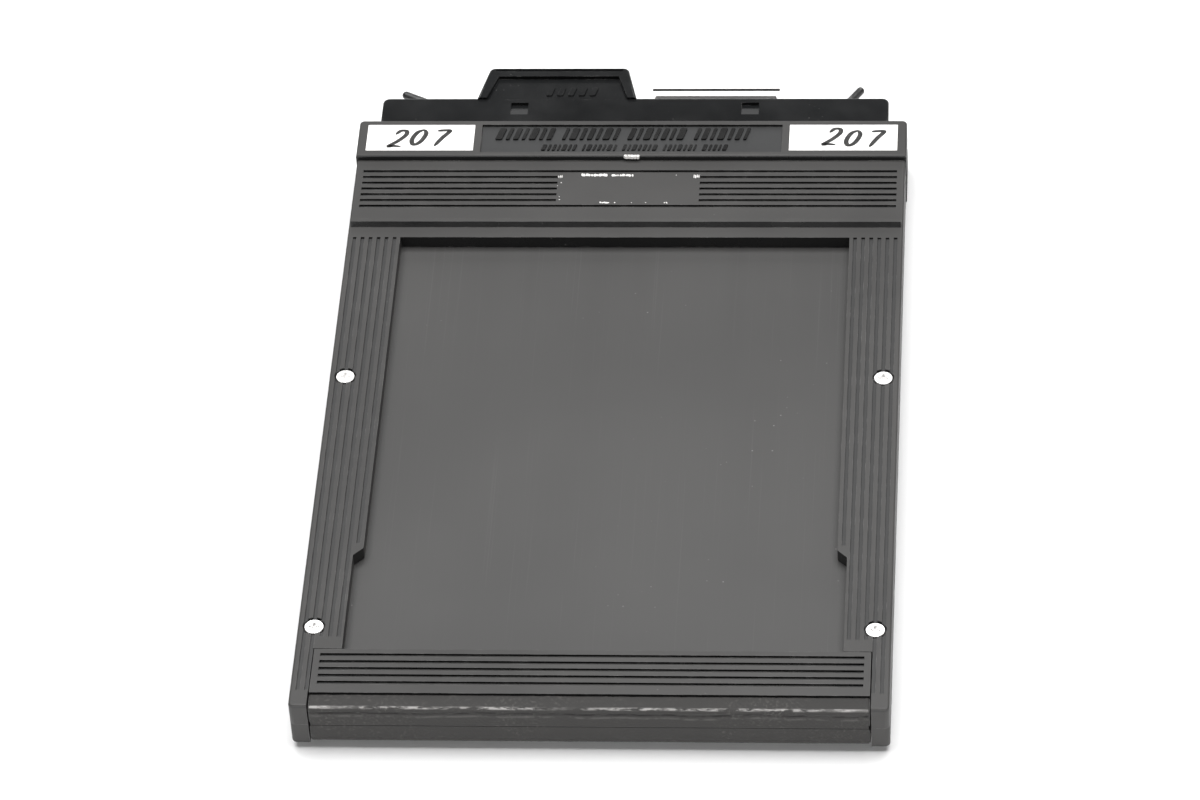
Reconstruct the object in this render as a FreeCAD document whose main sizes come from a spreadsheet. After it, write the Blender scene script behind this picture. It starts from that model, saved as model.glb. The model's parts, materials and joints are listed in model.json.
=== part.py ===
import FreeCAD, Part
import math
import os

import Sketcher

# Double sheet film holder for 4 x 5 inch film, lying on its back.
#
# Every piece is drawn in half-holder axes: x across the holder, y towards the handles from the top
# edge of the label band (so the body runs down to negative y), and z out from the mid-plane between
# the two halves.  The front pieces are lifted to the mid-plane's height, and the back pieces are the
# same ones turned half a turn about the long axis, which is how the real holder is made.

Vector = FreeCAD.Vector
AXIS_X = Vector(1, 0, 0)
AXIS_Y = Vector(0, 1, 0)
AXIS_Z = Vector(0, 0, 1)
SIDES = ("front", "back")
HANDS = (("left", -1), ("right", 1))

# Driving dimensions in millimetres: alias, value, what it is.  Depths called "down" are measured
# from the top edge of the label band towards the flap end.
DIMENSIONS = [
    ("mid_height", 6.9, "mid-plane above the surface the holder lies on"),
    ("band_top", 78.15, "top edge of the label band from the middle of the length"),
    ("body_width", 120.0, "width over the rails"),
    ("face", 5.5, "frame face from the mid-plane"),
    ("edge_round", 0.5, "rounding of the moulded outer edges"),
    ("corner_round", 1.0, "rounding of the outer corners seen from the front"),
    ("band_width", 120.4, "width of the raised label band"),
    ("band_length", 11.7, "label band along the holder"),
    ("band_face", 6.9, "label band face from the mid-plane"),
    ("label_inner", 34.5, "inner end of a label from the middle"),
    ("label_width", 23.8, "label across the holder"),
    ("label_length", 8.6, "label along the holder"),
    ("label_down", 1.4, "top edge of a label"),
    ("label_recess", 0.35, "depth of the label's seat"),
    ("label_thick", 0.3, "thickness of a label"),
    ("panel_half", 33.0, "half width of the sunk name panel"),
    ("panel_down", 1.5, "top edge of the name panel"),
    ("panel_length", 9.0, "name panel along the holder"),
    ("panel_depth", 0.6, "depth of the name panel"),
    ("ridge_down", 31.6, "near side of the locating ridge"),
    ("ridge_length", 1.7, "locating ridge along the holder"),
    ("ridge_face", 6.8, "top of the locating ridge from the mid-plane"),
    ("ridge_slope", 0.4, "slope of the ridge's sides"),
    ("rib_down", 15.3, "first groove of the ribbed head"),
    ("rib_pitch", 1.87, "pitch of the ribbed head's grooves"),
    ("rib_groove", 0.85, "width of a groove in the ribbed head"),
    ("rib_depth", 0.5, "depth of the grooves in the head and the flap"),
    ("rib_half", 58.3, "half length of a groove in the ribbed head"),
    ("pad_half", 15.5, "half width of the plain pad in the ribbed head"),
    ("window_down", 36.5, "top edge of the exposure window"),
    ("window_half", 48.5, "half width of the window"),
    ("step_down", 130.5, "where the window widens for loading"),
    ("step_run", 2.0, "how far the window widens on each side"),
    ("flap_down", 158.8, "seam between the window and the flap"),
    ("rail_first", 1.6, "outermost rail groove from the outer edge"),
    ("rail_pitch", 1.74, "pitch of the rail grooves"),
    ("rail_groove", 0.8, "width of a rail groove"),
    ("rail_depth", 0.45, "depth of a rail groove"),
    ("long_groove_end", 170.2, "where the outer two rail grooves stop"),
    ("rail_groove_end", 155.5, "where the middle rail grooves stop"),
    ("short_groove_end", 129.1, "where the innermost rail groove stops"),
    ("slot_half", 53.1, "half width of the slot for the dark slide"),
    ("slot_floor", 1.55, "inner face of the slide's slot"),
    ("slot_roof", 2.65, "outer face of the slide's slot"),
    ("sheet_half", 52.75, "half width of the dark slide's sheet"),
    ("sheet_low", 1.7, "inner face of the sheet"),
    ("sheet_thick", 0.8, "thickness of the sheet"),
    ("sheet_tip", 163.2, "far end of the sheet"),
    ("sheet_root", 6.0, "length of sheet held in the handle"),
    ("well_half", 53.6, "half width of the film well under the rails"),
    ("septum_half", 53.5, "half width of the septum"),
    ("septum_thick", 1.0, "thickness of the septum"),
    ("septum_down", 31.5, "end of the septum held in the head"),
    ("septum_end", 174.0, "end of the septum between the flaps"),
    ("guide_inner", 49.4, "inner edge of a film guide's lip"),
    ("guide_wall", 51.0, "inner face of a film guide's wall"),
    ("guide_outer", 53.4, "outer face of a film guide"),
    ("guide_top", 1.4, "top of a film guide from the mid-plane"),
    ("guide_lip", 0.5, "thickness of a film guide's lip"),
    ("guide_down", 38.0, "near end of a film guide"),
    ("guide_end", 157.5, "far end of a film guide"),
    ("trap_down", 18.5, "near side of the light trap"),
    ("trap_length", 9.0, "light trap along the holder"),
    ("trap_roof", 4.3, "outer face of the light trap"),
    ("felt_low", 2.6, "inner face of the light trap's felt"),
    ("felt_thick", 0.8, "thickness of the felt"),
    ("spring_thick", 0.2, "thickness of the leaf spring"),
    ("spring_rise", 0.6, "rise of the leaf spring's bow"),
    ("cheek", 3.7, "width of the rail beside the flap"),
    ("ledge_top", 1.3, "ledge under the edge of the flap"),
    ("ledge_end", 171.0, "end of the ledge"),
    ("rail_end", 174.6, "end of the rails"),
    ("flap_gap", 0.25, "gap between the flap and the rails"),
    ("flap_low", 3.0, "underside of the flap's lip"),
    ("flap_felt", 0.3, "thickness of the felt under the lip"),
    ("flap_wall", 171.3, "inner face of the flap's end wall"),
    ("flap_wall_low", 0.65, "lower edge of the flap's end wall"),
    ("flap_end", 174.5, "outer face of the flap's end wall"),
    ("flap_round", 0.8, "rounding of the flap's end edge"),
    ("flap_rib_down", 160.55, "first groove of the flap"),
    ("flap_rib_pitch", 1.9, "pitch of the flap's grooves"),
    ("flap_rib_half", 54.7, "half length of a groove in the flap"),
    ("tape_thick", 0.3, "thickness of the hinge tape"),
    ("tape_half", 55.9, "half width of the hinge tape"),
    ("tape_down", 170.9, "edge of the tape on the flap"),
    ("tape_low", 0.05, "edge of the tape at the hinge line"),
    ("tape_rebate", 0.8, "step down from the flap's ribs to the tape's bed"),
    ("bar_half", 56.0, "half width of the handle bar"),
    ("bar_up", 9.7, "handle bar above the band"),
    ("bar_gap", 0.2, "gap between the bar and the band"),
    ("bar_low", 1.3, "inner face of the handle bar, clear of the hooks"),
    ("bar_face", 4.9, "outer face of the handle bar"),
    ("bar_round", 1.5, "rounding of the bar's outer corners"),
    ("dimple_x", 25.5, "moulding dimple from the middle"),
    ("dimple_wide", 3.8, "moulding dimple across"),
    ("dimple_tall", 3.9, "moulding dimple along the holder"),
    ("dimple_low", 4.2, "lower edge of a dimple above the band"),
    ("dimple_depth", 0.8, "depth of a dimple at its upper end"),
    ("tab_near", -0.3, "foot of the tab nearest the middle, a little past it"),
    ("tab_far", 35.0, "foot of the tab furthest from the middle"),
    ("tab_slope", 2.3, "how far the tab's sides lean in"),
    ("tab_up", 19.2, "top of the tab above the band"),
    ("tab_round", 1.4, "rounding of the tab's corners"),
    ("tab_plate", 4.6, "outer face of the tab's sunk plate"),
    ("tab_face", 5.5, "outer face of the tab's rim"),
    ("rim_side", 2.0, "width of the rim at the sides"),
    ("rim_top", 2.9, "width of the rim at the top"),
    ("rim_groove", 0.8, "width of the groove along the rim"),
    ("rim_groove_in", 0.85, "groove's middle from the tab's top edge"),
    ("rim_groove_end", 1.2, "groove's end from the tab's sloping side"),
    ("rim_groove_depth", 0.4, "depth of the groove along the rim"),
    ("key_gap", 0.03, "clearance round the key that holds the marker to the tab"),
    ("key_low", 0.45, "inner face of the key"),
    ("marker_low", 0.35, "inner face of the white marker"),
    ("marker_top", 1.55, "where the white marker meets the tab"),
    ("hook_x", 46.5, "hook from the middle"),
    ("hook_wire", 1.8, "diameter of the hook's wire"),
    ("hook_bend", 1.6, "radius of the hook's bend"),
    ("hook_stem", 12.4, "top of the hook's straight stem above the band"),
    ("hook_arm", 5.0, "straight part of the hook's arm"),
    ("left_rise", 28.0, "degrees that the left hook's arm leans up from square"),
    ("right_rise", 58.0, "degrees that the right hook's arm leans up from square"),
    ("hook_root", 8.0, "length of the hook's wire in the head"),
    ("bush_bore", 1.9, "bore of a hook's bush"),
    ("bush_outer", 2.5, "outside diameter of a hook's bush"),
    ("bush_long", 9.0, "length of a hook's bush"),
    ("screw_x", 56.7, "screws from the middle"),
    ("screw_near", 79.6, "near pair of screws"),
    ("screw_far", 152.5, "far pair of screws"),
    ("screw_seat", 4.6, "diameter of a screw's counterbore"),
    ("screw_seat_depth", 1.3, "depth of a screw's counterbore"),
    ("screw_head", 3.8, "diameter of a screw's head"),
    ("screw_head_tall", 1.0, "height of a screw's head"),
    ("screw_wire", 2.0, "diameter of a screw's shank"),
    ("screw_clear", 2.2, "clearance hole for a screw"),
    ("screw_tip", 4.0, "end of a screw behind the mid-plane"),
    ("cross_long", 2.2, "length of the cross recess's slots"),
    ("cross_wide", 0.55, "width of the cross recess's slots"),
    ("cross_deep", 0.6, "depth of the cross recess"),
    ("insert_outer", 3.4, "outside diameter of a threaded insert"),
    ("insert_low", 1.0, "open end of an insert behind the mid-plane"),
    ("insert_long", 3.5, "length of a threaded insert"),
]

LEAST_CUT = 0.5  # cubic millimetres that every pocket takes away at least
RIB_COUNT = 7
RAIL_GROOVE_COUNT = 6
FLAP_RIB_COUNT = 5

doc = FreeCAD.newDocument("SheetFilmHolder")
dims = doc.addObject("Spreadsheet::Sheet", "Dims")
nodes = []


def fill_sheet():
    """Writes each driving dimension, its alias and its meaning in a row of the sheet."""
    for row, (alias, value, meaning) in enumerate(DIMENSIONS, start=1):
        dims.set(f"A{row}", meaning)
        dims.set(f"B{row}", str(value))
        dims.setAlias(f"B{row}", alias)
    doc.recompute()


# ---------------------------------------------------------------- drawing helpers


def number(formula):
    """The value of a formula of sheet cells."""
    value = dims.evalExpression(formula)
    return float(getattr(value, "Value", value))


def new_body(name):
    return doc.addObject("PartDesign::Body", name)


def new_sketch(body, name, role="XY_Plane", offset="0"):
    """A sketch on one of the body's own origin planes, moved along the plane's normal."""
    plane = next(item for item in body.Origin.OriginFeatures if item.Role == role)
    sketch = body.newObject("Sketcher::SketchObject", name)
    sketch.AttachmentSupport = [(plane, "")]
    sketch.MapMode = "FlatFace"
    sketch.setExpression("AttachmentOffset.Base.z", offset)
    return sketch


def hold(sketch, kind, line, formula):
    """Holds the start of a line at a formula's distance from the sketch's origin."""
    constraint = Sketcher.Constraint(kind, -1, 1, line, 1, number(formula))
    index = sketch.addConstraint(constraint)
    sketch.setExpression(f"Constraints[{index}]", formula)


def outline(sketch, corners):
    """Adds a closed polygon, each corner held at its own two formulas."""
    first = sketch.GeometryCount
    count = len(corners)
    places = [Vector(number(x), number(y), 0) for x, y in corners]
    for index, place in enumerate(places):
        sketch.addGeometry(Part.LineSegment(place, places[(index + 1) % count]), False)
    for index in range(count):
        following = first + (index + 1) % count
        sketch.addConstraint(Sketcher.Constraint("Coincident", first + index, 2, following, 1))
    for index, (x, y) in enumerate(corners):
        hold(sketch, "DistanceX", first + index, x)
        hold(sketch, "DistanceY", first + index, y)


def rectangle(sketch, left, right, low, high):
    outline(sketch, [(left, low), (right, low), (right, high), (left, high)])


def pad(body, sketch, name, length, midplane=False):
    feature = body.newObject("PartDesign::Pad", name)
    feature.Profile = sketch
    feature.SideType = "Symmetric" if midplane else "One side"
    feature.setExpression("Length", length)
    doc.recompute()
    return feature


def pocket(body, sketch, name, depth, away=False):
    """Cuts from the sketch's plane against its normal, or along it, and makes sure that it cut."""
    before = body.Shape.Volume
    feature = body.newObject("PartDesign::Pocket", name)
    feature.Profile = sketch
    feature.Reversed = away
    feature.setExpression("Length", depth)
    doc.recompute()
    if before - body.Shape.Volume < LEAST_CUT:
        raise RuntimeError(f"{body.Name}: {name} cut nothing")
    return feature


def block(body, name, left, right, low, high, bottom, top):
    """Pads a box between six formulas."""
    sketch = new_sketch(body, f"{name}_sketch", offset=bottom)
    rectangle(sketch, left, right, low, high)
    return pad(body, sketch, name, f"({top}) - ({bottom})")


def carve(body, name, left, right, low, high, bottom, top):
    """Pockets a box between six formulas."""
    sketch = new_sketch(body, f"{name}_sketch", offset=top)
    rectangle(sketch, left, right, low, high)
    return pocket(body, sketch, name, f"({top}) - ({bottom})")


def round_edges(body, name, radius, wanted):
    """Fillets the body's edges whose two ends and middle the test accepts."""
    tip = body.Tip
    names = []
    for index, edge in enumerate(tip.Shape.Edges, start=1):
        if len(edge.Vertexes) == 2 and wanted(edge):
            names.append(f"Edge{index}")
    if not names:
        raise RuntimeError(f"{body.Name}: {name} found no edge")
    feature = body.newObject("PartDesign::Fillet", name)
    feature.Base = (tip, names)
    feature.setExpression("Radius", radius)
    doc.recompute()
    return feature


def along(edge, axis):
    """True for a straight edge that runs along the axis."""
    first, last = (vertex.Point for vertex in edge.Vertexes)
    run = last - first
    return run.Length > 0 and abs(run.normalize().dot(axis)) > 0.999


def primitive(kind, name, sizes, place=("0", "0", "0")):
    """A Part primitive whose sizes and place are bound to formulas."""
    item = doc.addObject(f"Part::{kind}", name)
    for key, formula in sizes.items():
        item.setExpression(key, formula)
    for key, formula in zip("xyz", place):
        item.setExpression(f"Placement.Base.{key}", formula)
    return item


def cylinder(name, diameter, length, place, axis=AXIS_Z):
    sizes = {"Radius": f"({diameter}) / 2", "Height": length}
    item = primitive("Cylinder", name, sizes, place)
    item.Placement.Rotation = FreeCAD.Rotation(AXIS_Z, axis)
    return item


def box(name, left, right, low, high, bottom, top):
    sizes = {
        "Length": f"({right}) - ({left})",
        "Width": f"({high}) - ({low})",
        "Height": f"({top}) - ({bottom})",
    }
    return primitive("Box", name, sizes, (left, low, bottom))


def fused(name, items):
    fusion = doc.addObject("Part::MultiFuse", name)
    fusion.Shapes = items
    return fusion


def cut(name, base, tool):
    result = doc.addObject("Part::Cut", name)
    result.Base = base
    result.Tool = tool
    return result


def group(name, items):
    """A node of several separate solids."""
    compound = doc.addObject("Part::Compound", name)
    compound.Links = items
    return compound


def plate_node(name, label, side, left, right, low, high, bottom, top):
    """A plain flat piece between six formulas."""
    body = new_body(name)
    block(body, "plate", left, right, low, high, bottom, top)
    return seat(body, label, side)


def seat(item, label, side="front"):
    """Labels a finished piece as a node and puts it on its side of the holder."""
    item.Label = label
    turn = 0 if side == "front" else 180
    item.Placement = FreeCAD.Placement(Vector(0, 0, 0), FreeCAD.Rotation(AXIS_Y, turn))
    item.setExpression("Placement.Base.y", "Dims.band_top")
    item.setExpression("Placement.Base.z", "Dims.mid_height")
    nodes.append(item)
    return item


# ---------------------------------------------------------------- the two half-frames


def frame_outline(body):
    """The moulded half-frame before anything is cut: slab, label band and locating ridge."""
    half = "Dims.body_width / 2"
    block(body, "slab", f"-{half}", half, "-Dims.rail_end", "0", "0", "Dims.face")
    low_end = -number("Dims.rail_end")
    round_edges(
        body,
        "slab_corners",
        "Dims.corner_round",
        lambda edge: along(edge, AXIS_Z) and edge.CenterOfMass.y < low_end + 1,
    )
    top = number("Dims.face")
    round_edges(
        body,
        "slab_edges",
        "Dims.edge_round",
        lambda edge: along(edge, AXIS_Y) and abs(edge.CenterOfMass.z - top) < 0.01,
    )
    band = "Dims.band_width / 2"
    block(body, "band", f"-{band}", band, "-Dims.band_length", "0", "1.0", "Dims.band_face")
    round_edges(
        body,
        "band_corners",
        "Dims.corner_round",
        lambda edge: along(edge, AXIS_Z) and edge.CenterOfMass.z > 2 and edge.CenterOfMass.y > -1,
    )
    face = number("Dims.band_face")
    round_edges(
        body,
        "band_edges",
        "Dims.edge_round",
        lambda edge: abs(edge.CenterOfMass.z - face) < 0.01,
    )
    ridge = new_sketch(body, "ridge_sketch", "YZ_Plane")
    near = "-Dims.ridge_down"
    far = "-Dims.ridge_down - Dims.ridge_length"
    outline(
        ridge,
        [
            (near, "Dims.face - 0.5"),
            (near, "Dims.face"),
            (f"{near} - Dims.ridge_slope", "Dims.ridge_face"),
            (f"{far} + Dims.ridge_slope", "Dims.ridge_face"),
            (far, "Dims.face"),
            (far, "Dims.face - 0.5"),
        ],
    )
    pad(body, ridge, "ridge", "Dims.body_width - 2 * Dims.edge_round", midplane=True)


def cut_window(body):
    """The exposure window, wider below the step, and the open end where the flap lies."""
    inner = "Dims.window_half"
    outer = "(Dims.window_half + Dims.step_run)"
    step = "-Dims.step_down"
    seam = "-Dims.flap_down"
    window = new_sketch(body, "window_sketch", offset="Dims.face")
    outline(
        window,
        [
            (f"-{inner}", "-Dims.window_down"),
            (f"-{inner}", step),
            (f"-{outer}", f"{step} - Dims.step_run"),
            (f"-{outer}", f"{seam} - 1"),
            (outer, f"{seam} - 1"),
            (outer, f"{step} - Dims.step_run"),
            (inner, step),
            (inner, "-Dims.window_down"),
        ],
    )
    pocket(body, window, "window", "Dims.face")
    cheek = "(Dims.body_width / 2 - Dims.cheek)"
    end = "-Dims.rail_end - 1"
    carve(body, "flap_bay", f"-{cheek}", cheek, end, seam, "Dims.ledge_top", "Dims.face")
    carve(body, "end_bay", f"-{cheek}", cheek, end, "-Dims.ledge_end", "0", "Dims.face")


def cut_slots(body):
    """The slide's slot through the head and rails, the film well, and the light trap."""
    end = "-Dims.rail_end - 1"
    slot = "Dims.slot_half"
    carve(body, "slide_slot", f"-{slot}", slot, end, "1", "Dims.slot_floor", "Dims.slot_roof")
    well = "Dims.well_half"
    start = "-Dims.window_down + 1"
    carve(body, "film_well", f"-{well}", well, end, start, "0", "Dims.slot_floor")
    keep = "-Dims.septum_down + 0.2"
    carve(body, "septum_seat", f"-{well}", well, end, keep, "0", "Dims.septum_thick / 2 + 0.05")
    near = "-Dims.trap_down"
    far = "-Dims.trap_down - Dims.trap_length"
    carve(body, "light_trap", f"-{slot}", slot, far, near, "Dims.slot_roof", "Dims.trap_roof")


def cut_head_grooves(body):
    """The ribbed grip; all but the first and last groove stop at the plain pad."""
    sketch = new_sketch(body, "head_grooves_sketch", offset="Dims.face")
    for index in range(RIB_COUNT):
        middle = f"-Dims.rib_down - {index} * Dims.rib_pitch"
        low = f"{middle} - Dims.rib_groove / 2"
        high = f"{middle} + Dims.rib_groove / 2"
        if index in (0, RIB_COUNT - 1):
            rectangle(sketch, "-Dims.rib_half", "Dims.rib_half", low, high)
        else:
            rectangle(sketch, "-Dims.rib_half", "-Dims.pad_half", low, high)
            rectangle(sketch, "Dims.pad_half", "Dims.rib_half", low, high)
    pocket(body, sketch, "head_grooves", "Dims.rib_depth")


def cut_rail_grooves(body):
    """Lengthwise grooves in both rails; the outer two run on beside the flap, and the
    innermost one stops above the step."""
    sketch = new_sketch(body, "rail_grooves_sketch", offset="Dims.face")
    ends = ["long_groove_end"] * 2 + ["rail_groove_end"] * (RAIL_GROOVE_COUNT - 3)
    ends.append("short_groove_end")
    for index, stop in enumerate(ends):
        middle = f"(Dims.body_width / 2 - Dims.rail_first - {index} * Dims.rail_pitch)"
        near = f"({middle} - Dims.rail_groove / 2)"
        far = f"({middle} + Dims.rail_groove / 2)"
        end = f"-Dims.{stop}"
        start = "-Dims.window_down"
        rectangle(sketch, near, far, end, start)
        rectangle(sketch, f"-{far}", f"-{near}", end, start)
    pocket(body, sketch, "rail_grooves", "Dims.rail_depth")


def cut_band(body):
    """Seats for the two labels and the sunk name panel between them."""
    inner = "Dims.label_inner"
    outer = "(Dims.label_inner + Dims.label_width)"
    low = "-Dims.label_down - Dims.label_length"
    high = "-Dims.label_down"
    seats = new_sketch(body, "label_seats_sketch", offset="Dims.band_face")
    rectangle(seats, inner, outer, low, high)
    rectangle(seats, f"-{outer}", f"-{inner}", low, high)
    pocket(body, seats, "label_seats", "Dims.label_recess")
    panel = new_sketch(body, "panel_sketch", offset="Dims.band_face")
    low = "-Dims.panel_down - Dims.panel_length"
    rectangle(panel, "-Dims.panel_half", "Dims.panel_half", low, "-Dims.panel_down")
    pocket(body, panel, "panel", "Dims.panel_depth")


def drill(body, name, offset, diameter, depth, places):
    """Round pockets of one diameter, going in from a face at the offset from the mid-plane."""
    sketch = new_sketch(body, f"{name}_sketch", offset=offset)
    for x, y in places:
        middle = Vector(number(x), number(y), 0)
        index = sketch.addGeometry(Part.Circle(middle, AXIS_Z, number(diameter) / 2), False)
        for kind, formula in (("DistanceX", x), ("DistanceY", y)):
            fixed = Sketcher.Constraint(kind, -1, 1, index, 3, number(formula))
            held = sketch.addConstraint(fixed)
            sketch.setExpression(f"Constraints[{held}]", formula)
        size = sketch.addConstraint(Sketcher.Constraint("Diameter", index, number(diameter)))
        sketch.setExpression(f"Constraints[{size}]", diameter)
    return pocket(body, sketch, name, depth)


def screw_places():
    """Where the four screws are, in half-holder axes."""
    return [
        (f"{sign} * Dims.screw_x", f"-Dims.{row}")
        for row in ("screw_near", "screw_far")
        for sign in (-1, 1)
    ]


def cut_hook_bores(body):
    """Half-round seats in the parting face for the hooks' bushes."""
    sketch = new_sketch(body, "bush_seats_sketch", "XZ_Plane")
    for sign in (-1, 1):
        x = f"{sign} * Dims.hook_x"
        middle = Vector(number(x), 0, 0)
        radius = number("Dims.bush_outer / 2")
        index = sketch.addGeometry(Part.Circle(middle, AXIS_Z, radius), False)
        sketch.addConstraint(Sketcher.Constraint("PointOnObject", index, 3, -1))
        held = sketch.addConstraint(Sketcher.Constraint("DistanceX", -1, 1, index, 3, middle.x))
        sketch.setExpression(f"Constraints[{held}]", x)
        size = sketch.addConstraint(Sketcher.Constraint("Diameter", index, 2 * radius))
        sketch.setExpression(f"Constraints[{size}]", "Dims.bush_outer")
    pocket(body, sketch, "bush_seats", "Dims.bush_long", away=True)


def make_frame(side):
    """One moulded half of the body.  The front half is counterbored, the back half holds inserts."""
    body = new_body(f"{side}_frame")
    frame_outline(body)
    cut_window(body)
    cut_slots(body)
    cut_head_grooves(body)
    cut_rail_grooves(body)
    cut_band(body)
    cut_hook_bores(body)
    places = screw_places()
    if side == "front":
        deep = "Dims.screw_seat_depth"
        drill(body, "seats", "Dims.face", "Dims.screw_seat", deep, places)
        drill(body, "holes", "Dims.face", "Dims.screw_clear", "Dims.face", places)
    else:
        hole = "Dims.screw_tip + 0.7"
        drill(body, "holes", hole, "Dims.screw_clear", hole, places)
        deep = "Dims.insert_low + Dims.insert_long"
        drill(body, "seats", deep, "Dims.insert_outer", "Dims.insert_long", places)
    return seat(body, f"{side}_frame", side)


# ---------------------------------------------------------------- film side


def make_septum():
    """The aluminium sheet that carries one film on each face."""
    half = "Dims.septum_half"
    body = new_body("septum")
    low = "-Dims.septum_thick / 2"
    block(body, "plate", f"-{half}", half, "-Dims.septum_end", "-Dims.septum_down", low, f"-({low})")
    round_edges(body, "plate_corners", "Dims.corner_round", lambda edge: along(edge, AXIS_Z))
    return seat(body, "septum")


def make_film_guide(side, hand, sign):
    """A channel that holds one long edge of the film on the septum."""
    body = new_body(f"{side}_film_guide_{hand}")
    sketch = new_sketch(body, "section", "XZ_Plane", "Dims.guide_down")
    floor = "Dims.septum_thick / 2"
    under = "Dims.guide_top - Dims.guide_lip"
    corners = [
        ("Dims.guide_wall", floor),
        ("Dims.guide_outer", floor),
        ("Dims.guide_outer", "Dims.guide_top"),
        ("Dims.guide_inner", "Dims.guide_top"),
        ("Dims.guide_inner", under),
        ("Dims.guide_wall", under),
    ]
    outline(sketch, [(f"{sign} * ({x})", z) for x, z in corners])
    pad(body, sketch, "channel", "Dims.guide_end - Dims.guide_down")
    return seat(body, f"{side}_film_guide_{hand}", side)


# ---------------------------------------------------------------- light trap, labels, fasteners


def make_light_trap(side):
    """The felt strip that rubs the slide and the bowed leaf spring behind it."""
    half = "(Dims.slot_half - 0.3)"
    near = "-Dims.trap_down - 0.3"
    far = "-Dims.trap_down - Dims.trap_length + 0.3"
    top = "Dims.felt_low + Dims.felt_thick"
    label = f"{side}_light_trap_felt"
    plate_node(f"{side}_felt_strip", label, side, f"-{half}", half, far, near, "Dims.felt_low", top)
    body = new_body(f"{side}_leaf_spring")
    sketch = new_sketch(body, "section", "YZ_Plane")
    base = f"{top} + 0.02"
    bowed = f"{base} + Dims.spring_rise"
    middle = "-Dims.trap_down - Dims.trap_length / 2"
    outline(
        sketch,
        [
            (far, base),
            (f"{middle} - 1", bowed),
            (f"{middle} + 1", bowed),
            (near, base),
            (near, f"{base} + Dims.spring_thick"),
            (f"{middle} + 1", f"{bowed} + Dims.spring_thick"),
            (f"{middle} - 1", f"{bowed} + Dims.spring_thick"),
            (far, f"{base} + Dims.spring_thick"),
        ],
    )
    pad(body, sketch, "strip", f"2 * {half}", midplane=True)
    seat(body, f"{side}_light_trap_spring", side)


def make_label(side, hand, sign):
    """A writing label in its seat on the band."""
    near = "Dims.label_inner + 0.1"
    far = "Dims.label_inner + Dims.label_width - 0.1"
    left, right = (near, far) if sign > 0 else (f"-({far})", f"-({near})")
    low = "-Dims.label_down - Dims.label_length + 0.1"
    high = "-Dims.label_down - 0.1"
    bottom = "Dims.band_face - Dims.label_recess"
    top = f"{bottom} + Dims.label_thick"
    label = f"{side}_label_{hand}"
    plate_node(label, label, side, left, right, low, high, bottom, top)


def make_screw(index, x, y):
    """A pan-head screw with a cross recess, its shank through both half-frames."""
    under_head = "Dims.face - Dims.screw_seat_depth"
    tip = "-Dims.screw_tip"
    tall = "Dims.screw_head_tall"
    head = cylinder(f"screw_head_{index}", "Dims.screw_head", tall, (x, y, under_head))
    length = f"{under_head} - ({tip}) + 0.2"
    shank = cylinder(f"screw_shank_{index}", "Dims.screw_wire", length, (x, y, tip))
    floor = f"{under_head} + {tall} - Dims.cross_deep"
    lid = f"{under_head} + {tall} + 0.1"
    long, wide = "Dims.cross_long / 2", "Dims.cross_wide / 2"
    slots = []
    for turn, (across, up) in enumerate(((long, wide), (wide, long))):
        sides = (f"{x} - {across}", f"{x} + {across}", f"{y} - {up}", f"{y} + {up}")
        slots.append(box(f"cross_slot_{index}_{turn}", *sides, floor, lid))
    whole = fused(f"screw_blank_{index}", [head, shank])
    return cut(f"screw_{index}", whole, fused(f"cross_{index}", slots))


def make_insert(index, x, y):
    """A brass threaded insert in the back half-frame."""
    bottom = "-Dims.insert_low - Dims.insert_long"
    sleeve = cylinder(f"insert_sleeve_{index}", "Dims.insert_outer", "Dims.insert_long", (x, y, bottom))
    hole = cylinder(f"insert_hole_{index}", "Dims.screw_wire", "Dims.insert_long", (x, y, bottom))
    return cut(f"insert_{index}", sleeve, hole)


def make_fasteners():
    places = screw_places()
    screws = [make_screw(index, x, y) for index, (x, y) in enumerate(places)]
    inserts = [make_insert(index, x, y) for index, (x, y) in enumerate(places)]
    seat(group("screws", screws), "frame_screws")
    seat(group("inserts", inserts), "screw_inserts")


# ---------------------------------------------------------------- dark slides


def make_sheet(side):
    """The slide's opaque sheet, held by its end in the handle."""
    half = "Dims.sheet_half"
    root = "Dims.bar_gap + Dims.sheet_root"
    low = "Dims.sheet_low"
    top = "Dims.sheet_low + Dims.sheet_thick"
    body = new_body(f"{side}_slide_sheet")
    block(body, "plate", f"-{half}", half, "-Dims.sheet_tip", root, low, top)
    tip = -number("Dims.sheet_tip")
    round_edges(
        body,
        "tip_corners",
        "Dims.corner_round",
        lambda edge: along(edge, AXIS_Z) and edge.CenterOfMass.y < tip + 1,
    )
    seat(body, f"{side}_slide_sheet", side)


def tab_outline(sketch, inset_side="0", inset_top="0", foot="Dims.bar_up - 0.5"):
    """The tab's trapezoid on the left of the middle, drawn in by the two insets."""
    slope = "Dims.tab_slope"
    outline(
        sketch,
        [
            (f"-Dims.tab_far + {inset_side}", foot),
            (f"-Dims.tab_near - {inset_side}", foot),
            (f"-Dims.tab_near - {slope} - {inset_side}", f"Dims.tab_up - {inset_top}"),
            (f"-Dims.tab_far + {slope} + {inset_side}", f"Dims.tab_up - {inset_top}"),
        ],
    )


def rim_groove_box(gap="0"):
    """The strip along the tab's rim: its low and high X, then its low and high Y."""
    middle = "Dims.tab_up - Dims.rim_groove_in"
    inset = f"Dims.tab_slope + Dims.rim_groove_end + {gap}"
    return (
        f"-Dims.tab_far + {inset}",
        f"-Dims.tab_near - ({inset})",
        f"{middle} - Dims.rim_groove / 2 + {gap}",
        f"{middle} + Dims.rim_groove / 2 - {gap}",
    )


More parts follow.
